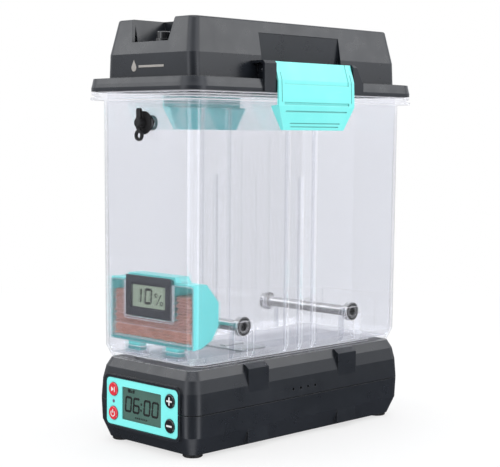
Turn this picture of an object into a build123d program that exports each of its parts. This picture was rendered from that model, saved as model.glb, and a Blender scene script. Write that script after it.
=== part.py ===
from build123d import *
import os
from math import cos, pi, sin

os.makedirs("parts", exist_ok=True)

# Filament dry box: a clear tank with a latched lid, standing on a heated dryer base.
# Frame: +Z up, origin on the floor under the middle, control panel towards -Y, latches towards +X and -X.
# An outline is (width along X, length along Y, corner radius, height of the level).

# ---- Dryer base ----
BASE_BOTTOM = (91.5, 214.5, 8.0, 2.5)
BASE_LOW = (101.0, 223.8, 10.0, 15.0)
BASE_SPLIT = (102.0, 225.0, 10.0, 30.7)
BASE_SHOULDER = (100.2, 223.6, 10.0, 45.2)
BASE_CREASE = (96.2, 219.8, 9.0, 54.0)
BASE_TOP = (89.5, 213.0, 7.0, 60.0)
BASE_WALL = 2.5
BASE_FLOOR_Z = 5.0
BASE_CEILING_Z = 57.0
SEAM = 0.5
FOOT_RADIUS = 7.0
FOOT_X, FOOT_Y = 37.5, 99.0
POST_X, POST_Y = 40.0, 88.0
POST_RADIUS = 3.4
SCREW_RADIUS = 1.4
SCREW_HEAD_RADIUS = 2.8
SCREW_TOP_Z = 42.0
PAD_Y = 47.6
PAD_WIDTH = 20.5
PAD_FACE_X = 50.4
PLATEAU = (72.0, 184.0, 5.0, 60.0)
PLATEAU_HEIGHT = 1.2
OUTLET_Y = -25.0

# ---- Control panel ----
PANEL_Z = 30.4
PANEL_WIDTH, PANEL_HEIGHT, PANEL_CORNER = 76.0, 34.0, 4.0
PANEL_FRAME = 2.0
FRAME_FACE_Y = -113.6
BEZEL_FACE_Y = -113.3
BEZEL_BACK_Y = -111.0
WINDOW_WIDTH, WINDOW_HEIGHT = 41.5, 23.5
BUTTON_X, BUTTON_RISE = 30.0, 8.6
BUTTON_RADIUS = 4.8
BUTTON_GAP = 0.25
BOARD_FACE_Y = -104.2

# ---- Clear tank ----
TANK_BOTTOM = (87.0, 212.8, 6.0, 60.0)
TANK_LOW = (96.0, 219.4, 8.0, 69.0)
TANK_TOP = (98.0, 221.0, 8.0, 243.8)
TANK_WALL = 2.0
TANK_FLOOR_Z = 63.8
LOWER_LIP = (116.8, 238.0, 15.0, 243.8)
LIP_NECK = (111.0, 232.0, 12.0, 245.8)
UPPER_LIP = (115.0, 236.6, 14.0, 247.4)
TANK_RIM_Z = 249.4

# ---- Spool rollers ----
ROLLER_Y, ROLLER_Z = 58.3, 86.5
BEARING_FACE_X = 45.7
BEARING_WIDTH = 4.0
BEARING_RADIUS = 7.0
OUTER_RACE_BORE = 6.2
INNER_RACE_RADIUS = 4.6
SHIELD_BORE = 4.75
SHIELD_THICKNESS = 0.4
SHAFT_RADIUS = 4.0
SHAFT_BORE = 3.2
BALL_RADIUS = 0.75
BALL_COUNT = 9

# ---- Desiccant case with hygrometer ----
CASE_HALF_WIDTH = 43.4
CASE_FRONT_Y = -103.9
CASE_WALL = 1.8
CASE_BOTTOM_Z, CASE_TOP_Z = 74.0, 118.4
COVER_FACE_Y = -106.1
PEG_X, PEG_Y = 20.0, -99.6
METER_WIDTH, METER_HEIGHT = 48.0, 28.6
METER_Z = 107.2
METER_FACE_Y = -107.3

# ---- Wall plug ----
PLUG_Z = 228.0
PLUG_RADIUS = 5.25

# ---- Lid ----
SKIRT_BOTTOM = (115.0, 238.0, 15.0, 250.0)
SKIRT_TOP = (114.0, 237.1, 15.0, 255.0)
SKIRT_CHAMFER = (112.2, 235.4, 14.0, 258.8)
DOME_BASE = (91.3, 215.3, 7.0, 259.6)
DOME_CREASE = (89.6, 215.2, 7.0, 275.6)
DOME_TOP = (80.8, 205.2, 6.0, 300.0)
LID_WALL = 2.4
LID_SEAT_Z = 251.8
NOTCH_FLOOR_Z = 283.8
NOTCH_HALF_LOW, NOTCH_HALF_HIGH = 18.8, 22.3
NOTCH_BACK_Y = -73.0
OUTLET_FITTING_Y = -93.0
TUBE_BORE_RADIUS = 2.05

# ---- Latches ----
PIVOT_X, PIVOT_Z = 53.5, 265.0
LATCH_HALF_WIDTH = 40.3
LATCH_TIP_HALF_WIDTH = 31.5
LATCH_BEND_Z = 240.5
LATCH_TIP_Z = 223.6
PIN_RADIUS = 1.25
PIN_CLEARANCE = 0.05
EAR_INNER_Y, EAR_OUTER_Y = 41.0, 52.6
EAR_FACE_X = 58.6
EAR_TOP_Z = 271.6


def section(outline, inset=0.0, height=None):
    """A rounded rectangle at its level, or at another height, shrunk by inset on every side."""
    width, length, corner, level = outline
    with BuildSketch(Plane.XY.offset(level if height is None else height)) as profile:
        RectangleRounded(width - 2 * inset, length - 2 * inset, max(corner - inset, 1.0))
    return profile.sketch


def shelf(width, length, corner, height, centre_y=0.0):
    """A rounded rectangle on a level plane, centred at x = 0 and y = centre_y."""
    with BuildSketch(Plane.XY.offset(height)) as profile:
        with Locations((0, centre_y)):
            RectangleRounded(width, length, corner)
    return profile.sketch


def front_panel(width, height, corner, y, centre_x=0.0, centre_z=PANEL_Z):
    """A rounded rectangle on a plane facing -Y at the given y."""
    with BuildSketch(Plane.XZ.offset(-y)) as profile:
        with Locations((centre_x, centre_z)):
            RectangleRounded(width, height, corner)
    return profile.sketch


def front_disc(radius, x, y, z):
    """A disc on a plane facing -Y at the given y."""
    with BuildSketch(Plane.XZ.offset(-y)) as profile:
        with Locations((x, z)):
            Circle(radius)
    return profile.sketch


def profile_xz(points, y):
    """A closed outline of (x, z) points on a plane facing -Y at the given y."""
    with BuildSketch(Plane.XZ.offset(-y)) as profile:
        Polygon(*points, align=None)
    return profile.sketch


def profile_yz(points, x):
    """A closed outline of (y, z) points on a plane facing +X at the given x."""
    with BuildSketch(Plane.YZ.offset(x)) as profile:
        Polygon(*points, align=None)
    return profile.sketch


def side_disc(radius, x, y, z):
    """A disc on a plane facing +X at the given x."""
    with BuildSketch(Plane.YZ.offset(x)) as profile:
        with Locations((y, z)):
            Circle(radius)
    return profile.sketch


def floor_discs(radius, points, height):
    """Equal discs on a level plane."""
    with BuildSketch(Plane.XY.offset(height)) as profile:
        with Locations(*points):
            Circle(radius)
    return profile.sketch


def save(piece, name):
    """Label a finished piece and write its STEP file."""
    piece.part.label = name
    export_step(piece.part, "parts/" + name + ".step")


def corners(x, y):
    """The four points mirrored about both axes."""
    return [(x, y), (-x, y), (x, -y), (-x, -y)]


# =====================================================================================
# Dryer base
# =====================================================================================
SPLIT_Z = BASE_SPLIT[3]
LOWER_EDGE_Z = SPLIT_Z - SEAM / 2
UPPER_EDGE_Z = SPLIT_Z + SEAM / 2
PAD_BOTTOM_Z, PAD_TOP_Z, PAD_CREASE_Z = 4.4, 59.8, 57.0
PAD_ROOT_X, PAD_TOP_X = 44.0, 46.2
POSTS = corners(POST_X, POST_Y)
FRAME_WIDTH = PANEL_WIDTH + 2 * PANEL_FRAME
FRAME_HEIGHT = PANEL_HEIGHT + 2 * PANEL_FRAME
FRAME_DEPTH = 9.0
POCKET_GAP = 0.2
OPENING_WIDTH, OPENING_HEIGHT = 72.4, 30.2
BUTTON_CENTRES = {
    "mode_button": (-BUTTON_X, PANEL_Z + BUTTON_RISE),
    "power_button": (-BUTTON_X, PANEL_Z - BUTTON_RISE),
    "plus_button": (BUTTON_X, PANEL_Z + BUTTON_RISE),
    "minus_button": (BUTTON_X, PANEL_Z - BUTTON_RISE),
}
INLET_X, INLET_Z = -26.0, 21.0
INLET_RADIUS = 4.0
INLET_FACE_Y = 112.0


def pads(points):
    """The raised side pads, from an (x, z) outline, on both long sides."""
    with BuildPart() as raised:
        for side in (1, -1):
            for middle in (-PAD_Y, PAD_Y):
                outline = profile_xz([(side * x, z) for x, z in points], middle + PAD_WIDTH / 2)
                extrude(outline, PAD_WIDTH)
    return raised.part


with BuildPart() as base_lower_shell:
    loft([section(BASE_BOTTOM), section(BASE_LOW)], ruled=True)
    loft([section(BASE_LOW), section(BASE_SPLIT, height=LOWER_EDGE_Z)], ruled=True)
    add(pads([
        (PAD_ROOT_X, PAD_BOTTOM_Z), (PAD_FACE_X, PAD_BOTTOM_Z),
        (PAD_FACE_X, LOWER_EDGE_Z), (PAD_ROOT_X, LOWER_EDGE_Z),
    ]))
    extrude(front_panel(FRAME_WIDTH, FRAME_HEIGHT, PANEL_CORNER + 1, FRAME_FACE_Y), -FRAME_DEPTH)
    split(bisect_by=Plane.XY.offset(LOWER_EDGE_Z), keep=Keep.BOTTOM)
    # hollow inside
    loft([section(BASE_BOTTOM, BASE_WALL, BASE_FLOOR_Z), section(BASE_LOW, BASE_WALL)],
         ruled=True, mode=Mode.SUBTRACT)
    loft([section(BASE_LOW, BASE_WALL), section(BASE_SPLIT, BASE_WALL, LOWER_EDGE_Z)],
         ruled=True, mode=Mode.SUBTRACT)
    # pocket and opening of the control panel
    extrude(front_panel(PANEL_WIDTH + 2 * POCKET_GAP, PANEL_HEIGHT + 2 * POCKET_GAP, PANEL_CORNER,
                        FRAME_FACE_Y), BEZEL_BACK_Y - FRAME_FACE_Y, dir=(0, 1, 0), mode=Mode.SUBTRACT)
    extrude(front_panel(OPENING_WIDTH, OPENING_HEIGHT, 2.0, FRAME_FACE_Y), 12.0, dir=(0, 1, 0),
            mode=Mode.SUBTRACT)
    # screw posts
    extrude(floor_discs(POST_RADIUS, POSTS, BASE_FLOOR_Z), LOWER_EDGE_Z - BASE_FLOOR_Z)
    extrude(floor_discs(SCREW_RADIUS + 0.2, POSTS, 0), LOWER_EDGE_Z, mode=Mode.SUBTRACT)
    extrude(floor_discs(SCREW_HEAD_RADIUS + 0.2, POSTS, 0), 4.4, mode=Mode.SUBTRACT)
    # air intake slots in the floor, under the blower
    with BuildSketch(Plane.XY) as intake:
        with Locations((0, 58)):
            with GridLocations(0, 6, 1, 7):
                SlotOverall(36, 3)
    extrude(amount=BASE_FLOOR_Z + 1, mode=Mode.SUBTRACT)
    # power inlet in the rear wall
    extrude(front_disc(INLET_RADIUS + 0.15, INLET_X, 114.0, INLET_Z), 6.0, mode=Mode.SUBTRACT)
save(base_lower_shell, "base_lower_shell")

OUTLET_SLOT_PITCH = 5.2
with BuildPart() as base_upper_shell:
    loft([section(BASE_SPLIT, height=UPPER_EDGE_Z), section(BASE_SHOULDER)], ruled=True)
    loft([section(BASE_SHOULDER), section(BASE_CREASE)], ruled=True)
    loft([section(BASE_CREASE), section(BASE_TOP)], ruled=True)
    extrude(section(PLATEAU), PLATEAU_HEIGHT)
    add(pads([
        (PAD_ROOT_X, UPPER_EDGE_Z), (PAD_FACE_X, UPPER_EDGE_Z), (PAD_FACE_X, PAD_CREASE_Z),
        (PAD_TOP_X, PAD_TOP_Z), (PAD_ROOT_X, PAD_TOP_Z),
    ]))
    extrude(front_panel(FRAME_WIDTH, FRAME_HEIGHT, PANEL_CORNER + 1, FRAME_FACE_Y), -FRAME_DEPTH)
    split(bisect_by=Plane.XY.offset(UPPER_EDGE_Z), keep=Keep.TOP)
    # hollow inside
    loft([section(BASE_SPLIT, BASE_WALL, UPPER_EDGE_Z), section(BASE_SHOULDER, BASE_WALL)],
         ruled=True, mode=Mode.SUBTRACT)
    loft([section(BASE_SHOULDER, BASE_WALL), section(BASE_CREASE, BASE_WALL)],
         ruled=True, mode=Mode.SUBTRACT)
    extrude(section(BASE_TOP, BASE_WALL, BASE_CREASE[3]), BASE_CEILING_Z - BASE_CREASE[3],
            mode=Mode.SUBTRACT)
    # pocket and opening of the control panel
    extrude(front_panel(PANEL_WIDTH + 2 * POCKET_GAP, PANEL_HEIGHT + 2 * POCKET_GAP, PANEL_CORNER,
                        FRAME_FACE_Y), BEZEL_BACK_Y - FRAME_FACE_Y, dir=(0, 1, 0), mode=Mode.SUBTRACT)
    extrude(front_panel(OPENING_WIDTH, OPENING_HEIGHT, 2.0, FRAME_FACE_Y), 12.0, dir=(0, 1, 0),
            mode=Mode.SUBTRACT)
    # screw posts
    extrude(floor_discs(POST_RADIUS, POSTS, UPPER_EDGE_Z), BASE_CEILING_Z - UPPER_EDGE_Z)
    extrude(floor_discs(SCREW_RADIUS + 0.02, POSTS, UPPER_EDGE_Z), SCREW_TOP_Z - UPPER_EDGE_Z + 1,
            mode=Mode.SUBTRACT)
    # warm air outlet and the groove of its seal
    with BuildSketch(Plane.XY.offset(BASE_CEILING_Z - 1)) as outlet_slots:
        with Locations((0, OUTLET_Y)):
            with GridLocations(OUTLET_SLOT_PITCH, 0, 9, 1):
                SlotOverall(24, 3, rotation=90)
    extrude(amount=8, mode=Mode.SUBTRACT)
    extrude(shelf(59, 41, 3, 60, OUTLET_Y) - shelf(54, 36, 1.5, 60, OUTLET_Y), 3, mode=Mode.SUBTRACT)
    # four small side vents
    for index in range(4):
        extrude(side_disc(1.0, 44.0, -11.7 + 7.8 * index, 36.8), 10, mode=Mode.SUBTRACT)
save(base_upper_shell, "base_upper_shell")

with BuildPart() as outlet_seal:
    extrude(shelf(58.6, 40.6, 2.8, 60, OUTLET_Y) - shelf(54.4, 36.4, 1.6, 60, OUTLET_Y), 1.5)
save(outlet_seal, "outlet_seal")

with BuildPart() as rubber_feet:
    extrude(floor_discs(FOOT_RADIUS, corners(FOOT_X, FOOT_Y), 0), BASE_BOTTOM[3])
    chamfer(rubber_feet.faces().sort_by(Axis.Z)[:4].edges(), 0.6)
save(rubber_feet, "rubber_feet")

with BuildPart() as base_screws:
    extrude(floor_discs(SCREW_HEAD_RADIUS, POSTS, 2.8), 1.6)
    extrude(floor_discs(SCREW_RADIUS, POSTS, 4.4), SCREW_TOP_Z - 4.4)
    with BuildSketch(Plane.XY.offset(2.8)) as cross_slots:
        with Locations(*POSTS):
            Rectangle(3.4, 0.8)
            Rectangle(0.8, 3.4)
    extrude(amount=0.9, mode=Mode.SUBTRACT)
save(base_screws, "base_screws")

with BuildPart() as control_bezel:
    extrude(front_panel(PANEL_WIDTH, PANEL_HEIGHT, PANEL_CORNER - POCKET_GAP, BEZEL_FACE_Y),
            BEZEL_BACK_Y - BEZEL_FACE_Y, dir=(0, 1, 0))
    fillet(control_bezel.faces().sort_by(Axis.Y)[0].edges(), 0.6)
    for side in (1, -1):
        extrude(front_disc(1.4, side * 34.6, BEZEL_BACK_Y, PANEL_Z), BOARD_FACE_Y - BEZEL_BACK_Y,
                dir=(0, 1, 0))
    extrude(front_panel(WINDOW_WIDTH, WINDOW_HEIGHT, 1.0, BEZEL_FACE_Y), 5, dir=(0, 1, 0),
            mode=Mode.SUBTRACT)
    for x, z in BUTTON_CENTRES.values():
        extrude(front_disc(BUTTON_RADIUS + BUTTON_GAP, x, BEZEL_FACE_Y, z), 5, dir=(0, 1, 0),
                mode=Mode.SUBTRACT)
    extrude(front_disc(1.3, -BUTTON_X, BEZEL_FACE_Y, PANEL_Z), 5, dir=(0, 1, 0), mode=Mode.SUBTRACT)
save(control_bezel, "control_bezel")

with BuildPart() as panel_display:
    extrude(front_panel(WINDOW_WIDTH - 0.2, WINDOW_HEIGHT - 0.2, 0.9, BEZEL_FACE_Y + 0.8),
            BEZEL_BACK_Y - BEZEL_FACE_Y - 0.8, dir=(0, 1, 0))
    extrude(front_panel(46.0, 27.0, 1.0, BEZEL_BACK_Y), 2.4, dir=(0, 1, 0))
save(panel_display, "panel_display")

with BuildPart() as status_lens:
    extrude(front_disc(1.2, -BUTTON_X, BEZEL_FACE_Y - 0.2, PANEL_Z), 3.4, dir=(0, 1, 0))
    fillet(status_lens.faces().sort_by(Axis.Y)[0].edges(), 0.5)
save(status_lens, "status_lens")

CAP_FACE_Y = BEZEL_FACE_Y - 0.9
FLANGE_Y = BEZEL_BACK_Y + 0.1
for button_name, (x, z) in BUTTON_CENTRES.items():
    with BuildPart() as button:
        extrude(front_disc(BUTTON_RADIUS, x, CAP_FACE_Y, z), FLANGE_Y - CAP_FACE_Y, dir=(0, 1, 0))
        fillet(button.faces().sort_by(Axis.Y)[0].edges(), 0.7)
        extrude(front_disc(BUTTON_RADIUS + 0.8, x, FLANGE_Y, z), 1.0, dir=(0, 1, 0))
        extrude(front_disc(2.0, x, FLANGE_Y + 1.0, z), 2.4, dir=(0, 1, 0))
    save(button, button_name)

with BuildPart() as control_board:
    extrude(front_panel(72.0, 31.0, 1.0, BOARD_FACE_Y), 1.6, dir=(0, 1, 0))
save(control_board, "control_board")

with BuildPart() as tact_switches:
    for x, z in BUTTON_CENTRES.values():
        extrude(front_panel(6.0, 6.0, 0.4, BOARD_FACE_Y - 1.6, x, z), 1.6, dir=(0, 1, 0))
        extrude(front_disc(1.7, x, BOARD_FACE_Y - 2.0, z), 0.4, dir=(0, 1, 0))
save(tact_switches, "tact_switches")

with BuildPart() as main_board:
    extrude(shelf(66.0, 44.0, 1.5, 8.0, -72.0), 1.6)
    # standoffs down to the floor, then a relay, a transformer and two capacitors
    extrude(floor_discs(2.5, [(x, y - 72.0) for x, y in corners(28, 17)], BASE_FLOOR_Z), 3.0)
    extrude(shelf(16.0, 12.0, 0.6, 9.6, -84.0), 14.0)
    with BuildSketch(Plane.XY.offset(9.6)) as tall_parts:
        with Locations((-20, -64)):
            Rectangle(18, 15)
        with Locations((16, -62), (27, -62)):
            Circle(4.5)
    extrude(amount=13)
save(main_board, "main_board")

with BuildPart() as power_inlet:
    extrude(front_disc(INLET_RADIUS, INLET_X, INLET_FACE_Y, INLET_Z), 8.4)
    extrude(front_panel(10.0, 11.0, 0.8, INLET_FACE_Y - 2.9, INLET_X, INLET_Z), 9.0)
    extrude(front_disc(2.75, INLET_X, INLET_FACE_Y, INLET_Z), 9.0, mode=Mode.SUBTRACT)
    extrude(front_disc(1.05, INLET_X, INLET_FACE_Y - 1.4, INLET_Z), 8.0)
save(power_inlet, "power_inlet")

# ---- blower, heater and duct ----
BLOWER_Y = 58.0
BLOWER_RADIUS = 33.0
BLOWER_LOW_Z, BLOWER_HIGH_Z = 8.0, 33.0
THROAT_LOW_X, THROAT_HIGH_X = 5.0, 33.0
THROAT_END_Y = 18.0
HOUSING_WALL = 1.8
IMPELLER_RADIUS = 25.0
BLADE_COUNT = 28


def volute(inset, height):
    """The outline of the blower: a round drum with a straight throat towards -Y."""
    width = THROAT_HIGH_X - THROAT_LOW_X
    with BuildSketch(Plane.XY.offset(height)) as outline:
        with Locations((0, BLOWER_Y)):
            Circle(BLOWER_RADIUS - inset)
        with Locations((THROAT_LOW_X + width / 2, (THROAT_END_Y + BLOWER_Y) / 2)):
            Rectangle(width - 2 * inset, BLOWER_Y - THROAT_END_Y)
    return outline.sketch


with BuildPart() as blower_housing:
    extrude(volute(0, BLOWER_LOW_Z), BLOWER_HIGH_Z - BLOWER_LOW_Z)
    extrude(volute(HOUSING_WALL, BLOWER_LOW_Z + HOUSING_WALL),
            BLOWER_HIGH_Z - BLOWER_LOW_Z - 2 * HOUSING_WALL, mode=Mode.SUBTRACT)
    extrude(floor_discs(20.0, [(0, BLOWER_Y)], BLOWER_HIGH_Z - 3), 5, mode=Mode.SUBTRACT)
    # three feet to the base floor
    with BuildSketch(Plane.XY.offset(BASE_FLOOR_Z)) as feet:
        with Locations((0, BLOWER_Y)):
            with PolarLocations(BLOWER_RADIUS - 4, 3, start_angle=90):
                Circle(3)
    extrude(amount=BLOWER_LOW_Z - BASE_FLOOR_Z)
save(blower_housing, "blower_housing")

MOTOR_BASE_Z = BLOWER_LOW_Z + HOUSING_WALL
with BuildPart() as blower_motor:
    extrude(floor_discs(9.0, [(0, BLOWER_Y)], MOTOR_BASE_Z), 6.0)
    extrude(floor_discs(1.5, [(0, BLOWER_Y)], MOTOR_BASE_Z + 6), 12.0)
save(blower_motor, "blower_motor")

IMPELLER_Z = MOTOR_BASE_Z + 1.2
with BuildPart() as blower_impeller:
    extrude(floor_discs(IMPELLER_RADIUS, [(0, BLOWER_Y)], IMPELLER_Z), 1.4)
    extrude(floor_discs(12.0, [(0, BLOWER_Y)], IMPELLER_Z + 1.4), 13.0)
    with BuildSketch(Plane.XY.offset(IMPELLER_Z + 1.4)) as blades:
        with Locations((0, BLOWER_Y)):
            with PolarLocations(IMPELLER_RADIUS - 3.2, BLADE_COUNT):
                Rectangle(5.4, 0.9, rotation=35)
    extrude(amount=15.0)
    extrude(floor_discs(IMPELLER_RADIUS, [(0, BLOWER_Y)], IMPELLER_Z + 15.4)
            - floor_discs(IMPELLER_RADIUS - 2.0, [(0, BLOWER_Y)], IMPELLER_Z + 15.4), 1.2)
    # hollow hub over the motor, and the bore of its shaft
    extrude(floor_discs(10.0, [(0, BLOWER_Y)], IMPELLER_Z - 1), 7.0, mode=Mode.SUBTRACT)
    extrude(floor_discs(1.55, [(0, BLOWER_Y)], IMPELLER_Z), 20.0, mode=Mode.SUBTRACT)
save(blower_impeller, "blower_impeller")

HEATER_LENGTH = 17.6
with BuildPart() as heater_core:
    throat_x = (THROAT_LOW_X + THROAT_HIGH_X) / 2
    extrude(front_panel(28.0, 25.0, 1.0, THROAT_END_Y, throat_x, (BLOWER_LOW_Z + BLOWER_HIGH_Z) / 2),
            HEATER_LENGTH)
    with BuildSketch(Plane.XZ.offset(-THROAT_END_Y)) as air_gaps:
        with Locations((throat_x, (BLOWER_LOW_Z + BLOWER_HIGH_Z) / 2)):
            with GridLocations(2.6, 7.4, 9, 3):
                Rectangle(1.6, 5.8)
    extrude(amount=HEATER_LENGTH, mode=Mode.SUBTRACT)
save(heater_core, "heater_core")

DUCT_WALL = 1.8
DUCT_BACK_Y = THROAT_END_Y - HEATER_LENGTH
DUCT_FRONT_Y = -45.0
DUCT_SIDE_X = THROAT_HIGH_X
with BuildPart() as air_duct:
    with BuildSketch(Plane.XY.offset(BLOWER_LOW_Z)) as duct_plan:
        Polygon((-DUCT_SIDE_X, DUCT_FRONT_Y), (DUCT_SIDE_X, DUCT_FRONT_Y), (DUCT_SIDE_X, DUCT_BACK_Y),
                (THROAT_LOW_X, DUCT_BACK_Y), (-DUCT_SIDE_X, -8), align=None)
    extrude(amount=BASE_CEILING_Z - BLOWER_LOW_Z)
    # hollow, open towards the heater and towards the outlet above
    with BuildSketch(Plane.XY.offset(BLOWER_LOW_Z + DUCT_WALL)) as air_path:
        add(offset(duct_plan.sketch_local, -DUCT_WALL, kind=Kind.INTERSECTION))
    extrude(amount=BASE_CEILING_Z, mode=Mode.SUBTRACT)
    extrude(front_panel(24.4, 21.4, 0.8, DUCT_BACK_Y, throat_x, (BLOWER_LOW_Z + BLOWER_HIGH_Z) / 2),
            10, mode=Mode.SUBTRACT)
save(air_duct, "air_duct")

# =====================================================================================
# Clear tank
# =====================================================================================
RIB_INNER_X, RIB_ROOT_X = 43.0, 47.4
RIB_Y, RIB_WIDTH = 14.5, 2.4
CRADLE_HALF_WIDTH = 9.5
CRADLE_TOP_Z = 90.0
CRADLE_INNER_X = BEARING_FACE_X - BEARING_WIDTH - 0.15
STOP_INNER_X = CRADLE_INNER_X - 1.5
SOCKET_WIDTH, SOCKET_LENGTH, SOCKET_WALL = 18.0, 9.4, 1.4
ENVELOPE_INSET = 0.6

with BuildPart() as tank_envelope:
    loft([section(TANK_BOTTOM, ENVELOPE_INSET), section(TANK_LOW, ENVELOPE_INSET)], ruled=True)
    loft([section(TANK_LOW, ENVELOPE_INSET), section(TANK_TOP, ENVELOPE_INSET)], ruled=True)

with BuildPart() as tank_fittings:
    # guide ribs on the long walls: two tall ones and a short one between them
    for side in (1, -1):
        for rib_y, rib_width, rib_top in ((-RIB_Y, RIB_WIDTH, 240), (RIB_Y, RIB_WIDTH, 240), (0, 3.4, 190)):
            with BuildSketch(Plane.XY.offset(TANK_FLOOR_Z)) as rib:
                with Locations((side * (RIB_INNER_X + RIB_ROOT_X) / 2, rib_y)):
                    Rectangle(RIB_ROOT_X - RIB_INNER_X, rib_width)
            extrude(amount=rib_top - TANK_FLOOR_Z)
    # raised stop panel on the rear wall
    extrude(front_panel(56, 31, 2, 108.6, 0, 79.6), 2.2)
    # cradles of the roller bearings, open at the top, with an inner stop
    for side in (1, -1):
        for cradle_y in (-ROLLER_Y, ROLLER_Y):
            low_y, high_y = cradle_y - CRADLE_HALF_WIDTH, cradle_y + CRADLE_HALF_WIDTH
            block = [(low_y, TANK_FLOOR_Z), (high_y, TANK_FLOOR_Z), (high_y, CRADLE_TOP_Z - 6),
                     (high_y - 1.6, CRADLE_TOP_Z), (low_y + 1.6, CRADLE_TOP_Z), (low_y, CRADLE_TOP_Z - 6)]
            extrude(profile_yz(block, side * STOP_INNER_X), side * (46.6 - STOP_INNER_X))
    for side in (1, -1):
        for cradle_y in (-ROLLER_Y, ROLLER_Y):
            for radius, start_x, end_x in ((BEARING_RADIUS + 0.05, CRADLE_INNER_X, 45.9),
                                           (SHAFT_RADIUS + 1.2, STOP_INNER_X - 1, CRADLE_INNER_X)):
                extrude(side_disc(radius, side * start_x, cradle_y, ROLLER_Z), side * (end_x - start_x),
                        mode=Mode.SUBTRACT)
                slot = [(cradle_y - radius, ROLLER_Z), (cradle_y + radius, ROLLER_Z),
                        (cradle_y + radius, CRADLE_TOP_Z + 1), (cradle_y - radius, CRADLE_TOP_Z + 1)]
                extrude(profile_yz(slot, side * start_x), side * (end_x - start_x), mode=Mode.SUBTRACT)
    # nothing of them stands out of the tank's own outline
    add(tank_envelope.part, mode=Mode.INTERSECT)

with BuildPart() as tank:
    loft([section(TANK_BOTTOM), section(TANK_LOW)], ruled=True)
    loft([section(TANK_LOW), section(TANK_TOP)], ruled=True)
    extrude(section(LOWER_LIP), LIP_NECK[3] - LOWER_LIP[3])
    extrude(section(LIP_NECK), UPPER_LIP[3] - LIP_NECK[3])
    extrude(section(UPPER_LIP), TANK_RIM_Z - UPPER_LIP[3])
    # hollow inside, open at the top
    loft([section((86.8, 211.8, 4.0, TANK_FLOOR_Z)), section(TANK_LOW, TANK_WALL)],
         ruled=True, mode=Mode.SUBTRACT)
    loft([section(TANK_LOW, TANK_WALL), section(TANK_TOP, TANK_WALL)], ruled=True, mode=Mode.SUBTRACT)
    extrude(section(TANK_TOP, TANK_WALL), TANK_RIM_Z - TANK_TOP[3], mode=Mode.SUBTRACT)
    # underside recess over the base's plateau, and the air inlet in the floor
    extrude(section(PLATEAU, -0.5), PLATEAU_HEIGHT + 0.4, mode=Mode.SUBTRACT)
    extrude(shelf(40, 22, 3, 60, OUTLET_Y), 6, mode=Mode.SUBTRACT)
    add(tank_fittings.part)
    # cups for the pegs of the desiccant case
    for side in (1, -1):
        with BuildSketch(Plane.XY.offset(TANK_FLOOR_Z)) as cup:
            with Locations((side * PEG_X, PEG_Y)):
                RectangleRounded(SOCKET_WIDTH, SOCKET_LENGTH, 2.4)
                RectangleRounded(SOCKET_WIDTH - 2 * SOCKET_WALL, SOCKET_LENGTH - 2 * SOCKET_WALL, 1.0,
                                 mode=Mode.SUBTRACT)
        extrude(amount=6.8)
    # hole of the wall plug
    extrude(front_disc(PLUG_RADIUS + 0.1, 0, -105, PLUG_Z), 10, mode=Mode.SUBTRACT)
save(tank, "tank")

with BuildPart() as inlet_flap:
    extrude(shelf(46, 28, 3, TANK_FLOOR_Z, OUTLET_Y), 1.0)
    extrude(shelf(6, 20, 1, TANK_FLOOR_Z + 1, OUTLET_Y), 1.0)
save(inlet_flap, "inlet_flap")

# =====================================================================================
# Spool rollers
# =====================================================================================
with BuildPart() as bearing_outer_races:
    for side in (1, -1):
        for bearing_y in (-ROLLER_Y, ROLLER_Y):
            outer_x = side * BEARING_FACE_X
            extrude(side_disc(BEARING_RADIUS, outer_x, bearing_y, ROLLER_Z)
                    - side_disc(SHIELD_BORE, outer_x, bearing_y, ROLLER_Z), -side * BEARING_WIDTH)
    for side in (1, -1):
        for bearing_y in (-ROLLER_Y, ROLLER_Y):
            inside_x = side * (BEARING_FACE_X - SHIELD_THICKNESS)
            extrude(side_disc(OUTER_RACE_BORE, inside_x, bearing_y, ROLLER_Z),
                    -side * (BEARING_WIDTH - 2 * SHIELD_THICKNESS), mode=Mode.SUBTRACT)
save(bearing_outer_races, "bearing_outer_races")

for roller_name, roller_y in (("front", -ROLLER_Y), ("rear", ROLLER_Y)):
    with BuildPart() as shaft:
        extrude(side_disc(SHAFT_RADIUS, -BEARING_FACE_X, roller_y, ROLLER_Z)
                - side_disc(SHAFT_BORE, -BEARING_FACE_X, roller_y, ROLLER_Z), 2 * BEARING_FACE_X)
    save(shaft, "roller_shaft_" + roller_name)

    with BuildPart() as inner_races:
        for side in (1, -1):
            outer_x = side * BEARING_FACE_X
            extrude(side_disc(INNER_RACE_RADIUS, outer_x, roller_y, ROLLER_Z)
                    - side_disc(SHAFT_RADIUS, outer_x, roller_y, ROLLER_Z), -side * BEARING_WIDTH)
    save(inner_races, "bearing_inner_races_" + roller_name)

    with BuildPart() as balls:
        pitch_radius = (INNER_RACE_RADIUS + OUTER_RACE_BORE) / 2
        for side in (1, -1):
            for index in range(BALL_COUNT):
                turn = 2 * pi * index / BALL_COUNT
                with Locations((side * (BEARING_FACE_X - BEARING_WIDTH / 2),
                                roller_y + pitch_radius * cos(turn), ROLLER_Z + pitch_radius * sin(turn))):
                    Sphere(BALL_RADIUS)
    save(balls, "bearing_balls_" + roller_name)

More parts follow.
